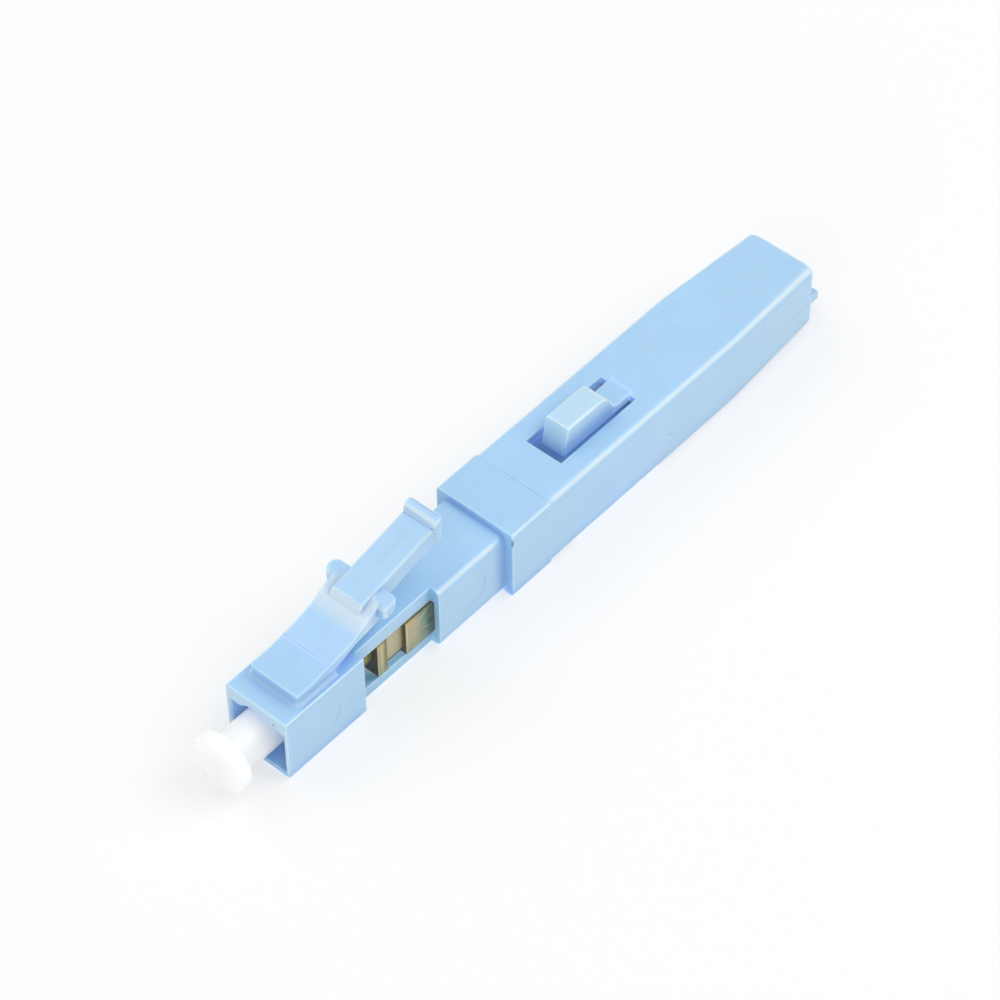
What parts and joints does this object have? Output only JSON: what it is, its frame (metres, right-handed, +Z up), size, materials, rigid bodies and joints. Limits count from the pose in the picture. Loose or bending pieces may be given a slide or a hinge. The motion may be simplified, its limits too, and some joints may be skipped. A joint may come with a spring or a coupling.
{
  "type": "lc fast connector",
  "caption": "Field-fitted LC optical connector: latched plug with ferrule and dust cap, windowed splice, and a tail sleeve with release button and flat cable mouth.",
  "frame": {"origin": "on the optical axis, at the plug's mating face", "axes": "+X along the optical axis from the mating face to the cable mouth, +Z up to the latch side, +Y across"},
  "size_m": [0.0499, 0.0058, 0.009],
  "materials": {
    "blue_plastic": "satin",
    "body_plastic": "satin",
    "zirconia": "polished",
    "flange_plastic": "satin",
    "silica": "clear",
    "amber_plastic": "satin",
    "splice_plastic": "satin",
    "spring_steel": "drawn",
    "guide_plastic": "satin",
    "clamp_plastic": "satin",
    "pin_steel": "drawn",
    "cap_plastic": "translucent"
  },
  "bodies": {
    "connector_body": {"plug_housing": "blue_plastic", "inner_body": "body_plastic", "fibre_guide": "guide_plastic", "coat_clamp": "clamp_plastic", "cable_lid": "body_plastic", "lid_pin": "pin_steel"},
    "latch": {"latch_arm": "blue_plastic"},
    "ferrule_unit": {"ferrule": "zirconia", "ferrule_flange": "flange_plastic", "fibre_stub": "silica", "splice_holder": "amber_plastic", "splice_base": "splice_plastic", "splice_cover_front": "splice_plastic", "splice_cover_rear": "splice_plastic", "splice_clip_front": "spring_steel", "splice_clip_rear": "spring_steel", "ferrule_spring": "spring_steel"},
    "cap": {"dust_cap": "cap_plastic"},
    "sleeve": {"tail_sleeve": "blue_plastic"},
    "button": {"sleeve_button": "blue_plastic"}
  },
  "joints": [
    {"name": "latch_press", "type": "hinge", "parent": "connector_body", "child": "latch", "pos_m": [0.0045, 0, 0.003], "axis": [0, 1, 0], "range_deg": [0, 12], "stiffness_Nm_per_rad": 0.02, "springref_deg": -5.73},
    {"name": "ferrule_travel", "type": "slide", "parent": "connector_body", "child": "ferrule_unit", "axis": [1, 0, 0], "range_m": [0, 0.0006], "stiffness_N_per_m": 400, "springref_m": -0.002, "deforming": ["ferrule_spring"]},
    {"name": "cap_pull", "type": "slide", "parent": "ferrule_unit", "child": "cap", "axis": [-1, 0, 0], "range_m": [0, 0.008]},
    {"name": "sleeve_slide", "type": "slide", "parent": "connector_body", "child": "sleeve", "axis": [1, 0, 0], "range_m": [0, 0.026]},
    {"name": "button_press", "type": "hinge", "parent": "sleeve", "child": "button", "pos_m": [0.0303, 0, 0.00248], "axis": [0, -1, 0], "range_deg": [0, 5], "stiffness_Nm_per_rad": 0.02, "springref_deg": -5.73}
  ]
}
